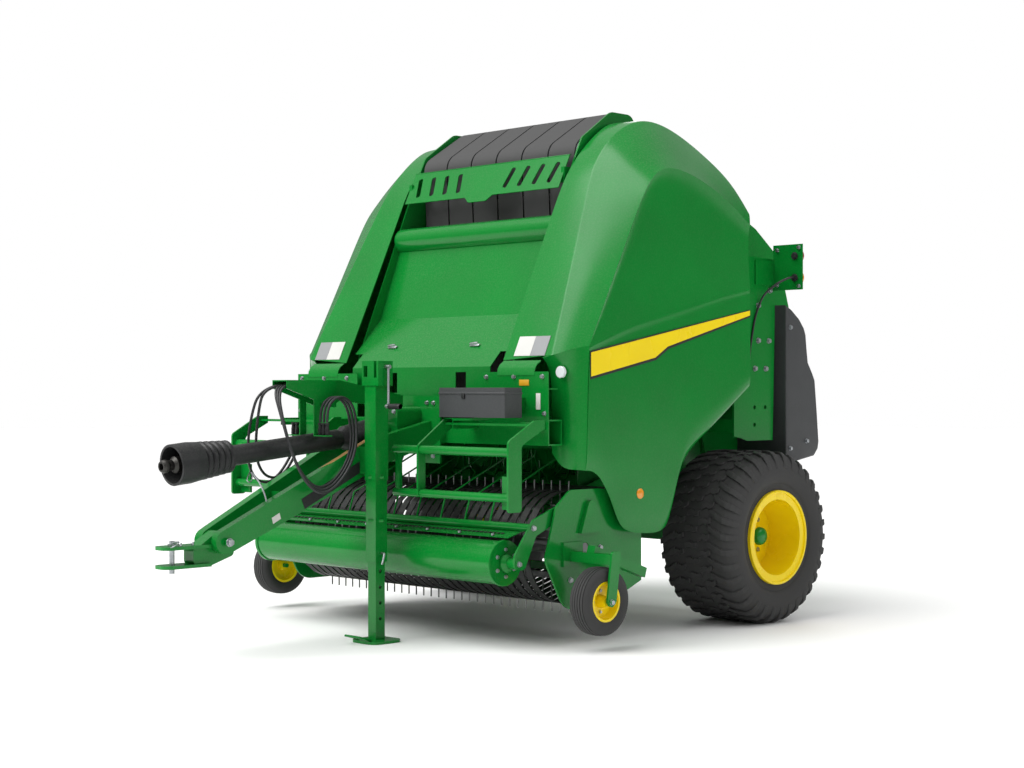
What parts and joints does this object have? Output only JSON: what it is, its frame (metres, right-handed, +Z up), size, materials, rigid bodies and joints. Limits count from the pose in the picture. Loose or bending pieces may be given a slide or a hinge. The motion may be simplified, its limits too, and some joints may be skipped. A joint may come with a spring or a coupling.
{
  "type": "round baler",
  "caption": "Towed round baler with a drawbar on a parking jack, wide pickup, gull-wing side shields, rising tailgate and two flotation wheels.",
  "frame": {"origin": "on the ground under the middle of the machine's length, on its centre plane", "axes": "+Z up, the drawbar points to -Y, the machine's left side is +X"},
  "size_m": [2.724, 4.135, 2.8054],
  "materials": {
    "green_paint": "gloss",
    "yellow_paint": "gloss",
    "tyre_rubber": "matte",
    "belt_rubber": "matte",
    "black_plastic": "matte",
    "grey_plastic": "matte",
    "zinc_steel": "satin",
    "spring_steel": "satin",
    "chrome_rod": "polished",
    "lamp_lens": "gloss",
    "hose_rubber": "satin"
  },
  "bodies": {
    "chassis": {"chamber_wall_left": "green_paint", "chamber_wall_right": "green_paint", "cross_tube": "green_paint", "apron": "green_paint", "grille_bar": "green_paint", "belt_rollers": "zinc_steel", "belts": "belt_rubber", "axle": "green_paint", "front_beam": "green_paint", "drawbar": "green_paint", "hitch_clevis": "green_paint", "hitch_pin": "zinc_steel", "jack_tube": "green_paint", "jack_crank": "zinc_steel", "gearbox": "green_paint", "gearbox_plate": "green_paint", "pto_guard_rear": "black_plastic", "tool_box": "grey_plastic", "tail_lamps": "lamp_lens", "lift_springs": "spring_steel", "rear_frame_left": "green_paint", "rear_frame_right": "green_paint", "guard_rail_left": "green_paint", "guard_rail_right": "green_paint", "hose_2": "hose_rubber", "hose_3": "hose_rubber", "hose_1": "hose_rubber", "lamp_cable": "hose_rubber", "hose_4": "hose_rubber", "hose_holder": "green_paint", "hose_5": "hose_rubber", "hose_couplers": "black_plastic"},
    "jack_leg": {"jack_leg": "green_paint"},
    "driveline_front": {"pto_guard_front": "black_plastic"},
    "driveline_yoke": {"pto_yoke": "spring_steel"},
    "pickup": {"pickup_frame": "green_paint", "stripper_bands": "spring_steel", "gauge_arms": "green_paint"},
    "tine_reel": {"tine_reel": "spring_steel"},
    "wind_guard": {"wind_guard": "green_paint"},
    "crop_roller": {"crop_roller": "green_paint"},
    "feed_rotor": {"feed_rotor": "green_paint"},
    "tailgate": {"tailgate": "green_paint", "gate_covers": "grey_plastic"},
    "tool_box_lid": {"tool_box_lid": "grey_plastic"},
    "gauge_wheel_left": {"gauge_tyre_left": "tyre_rubber", "gauge_rim_left": "yellow_paint"},
    "main_wheel_left": {"main_tyre_left": "tyre_rubber", "main_rim_left": "yellow_paint"},
    "cylinder_barrel_left": {"cylinder_barrel_left": "green_paint"},
    "cylinder_rod_left": {"cylinder_rod_left": "chrome_rod"},
    "side_shield_left": {"side_shield_left": "green_paint"},
    "gauge_wheel_right": {"gauge_tyre_right": "tyre_rubber", "gauge_rim_right": "yellow_paint"},
    "main_wheel_right": {"main_tyre_right": "tyre_rubber", "main_rim_right": "yellow_paint"},
    "cylinder_barrel_right": {"cylinder_barrel_right": "green_paint"},
    "cylinder_rod_right": {"cylinder_rod_right": "chrome_rod"},
    "side_shield_right": {"side_shield_right": "green_paint"}
  },
  "joints": [
    {"name": "main_wheel_left_spin", "type": "hinge", "parent": "chassis", "child": "main_wheel_left", "pos_m": [1.05, 1.0675, 0.4725], "axis": [1, 0, 0], "continuous": true},
    {"name": "main_wheel_right_spin", "type": "hinge", "parent": "chassis", "child": "main_wheel_right", "pos_m": [-1.05, 1.0675, 0.4725], "axis": [1, 0, 0], "continuous": true},
    {"name": "pickup_lift", "type": "hinge", "parent": "chassis", "child": "pickup", "pos_m": [0, 0.4075, 0.72], "axis": [-1, 0, 0], "range_deg": [-5, 6], "deforming": ["lift_springs"]},
    {"name": "gauge_wheel_left_spin", "type": "hinge", "parent": "pickup", "child": "gauge_wheel_left", "pos_m": [1.27, -0.3725, 0.245], "axis": [1, 0, 0], "continuous": true},
    {"name": "gauge_wheel_right_spin", "type": "hinge", "parent": "pickup", "child": "gauge_wheel_right", "pos_m": [-1.27, -0.3725, 0.245], "axis": [1, 0, 0], "continuous": true},
    {"name": "reel_spin", "type": "hinge", "parent": "pickup", "child": "tine_reel", "pos_m": [0, -0.2425, 0.48], "axis": [1, 0, 0], "continuous": true},
    {"name": "wind_guard_lift", "type": "hinge", "parent": "pickup", "child": "wind_guard", "pos_m": [0, -0.1925, 0.745], "axis": [-1, 0, 0], "range_deg": [0, 5]},
    {"name": "crop_roller_spin", "type": "hinge", "parent": "wind_guard", "child": "crop_roller", "pos_m": [0, -0.6925, 0.43], "axis": [1, 0, 0], "continuous": true},
    {"name": "rotor_spin", "type": "hinge", "parent": "chassis", "child": "feed_rotor", "pos_m": [0, 0.4075, 0.72], "axis": [1, 0, 0], "continuous": true},
    {"name": "tailgate_open", "type": "hinge", "parent": "chassis", "child": "tailgate", "pos_m": [0, 0.7475, 2.5], "axis": [1, 0, 0], "range_deg": [0, 55]},
    {"name": "cylinder_left_swing", "type": "hinge", "parent": "chassis", "child": "cylinder_barrel_left", "pos_m": [0.722, 0.6275, 1.7], "axis": [1, 0, 0], "range_deg": [0, 25]},
    {"name": "cylinder_left_stroke", "type": "slide", "parent": "cylinder_barrel_left", "child": "cylinder_rod_left", "axis": [0, 0.883, 0.4693], "range_m": [0, 0.545]},
    {"name": "cylinder_right_swing", "type": "hinge", "parent": "chassis", "child": "cylinder_barrel_right", "pos_m": [-0.722, 0.6275, 1.7], "axis": [1, 0, 0], "range_deg": [0, 25]},
    {"name": "cylinder_right_stroke", "type": "slide", "parent": "cylinder_barrel_right", "child": "cylinder_rod_right", "axis": [0, 0.883, 0.4693], "range_m": [0, 0.545]},
    {"name": "side_shield_left_open", "type": "hinge", "parent": "chassis", "child": "side_shield_left", "pos_m": [0.66, 0.5075, 2.8], "axis": [0, -1, 0], "range_deg": [0, 65]},
    {"name": "side_shield_right_open", "type": "hinge", "parent": "chassis", "child": "side_shield_right", "pos_m": [-0.66, 0.5075, 2.8], "axis": [0, 1, 0], "range_deg": [0, 65]},
    {"name": "jack_raise", "type": "slide", "parent": "chassis", "child": "jack_leg", "axis": [0, 0, 1], "range_m": [0, 0.3]},
    {"name": "driveline_extend", "type": "slide", "parent": "chassis", "child": "driveline_front", "axis": [0, -0.9947, -0.1028], "range_m": [0, 0.18]},
    {"name": "driveline_spin", "type": "hinge", "parent": "driveline_front", "child": "driveline_yoke", "pos_m": [0, -2.0525, 0.914], "axis": [0, -0.9947, -0.1028], "continuous": true},
    {"name": "tool_box_lid_open", "type": "hinge", "parent": "chassis", "child": "tool_box_lid", "pos_m": [0.667, -0.5425, 1.276], "axis": [-1, 0, 0], "range_deg": [0, 100]}
  ],
  "couplings": [
    {"joint": "cylinder_left_swing", "follows": "tailgate_open", "ratio": 0.4404},
    {"joint": "cylinder_left_stroke", "follows": "tailgate_open", "m_per_rad": 0.5612},
    {"joint": "cylinder_right_swing", "follows": "tailgate_open", "ratio": 0.4404},
    {"joint": "cylinder_right_stroke", "follows": "tailgate_open", "m_per_rad": 0.5612}
  ]
}
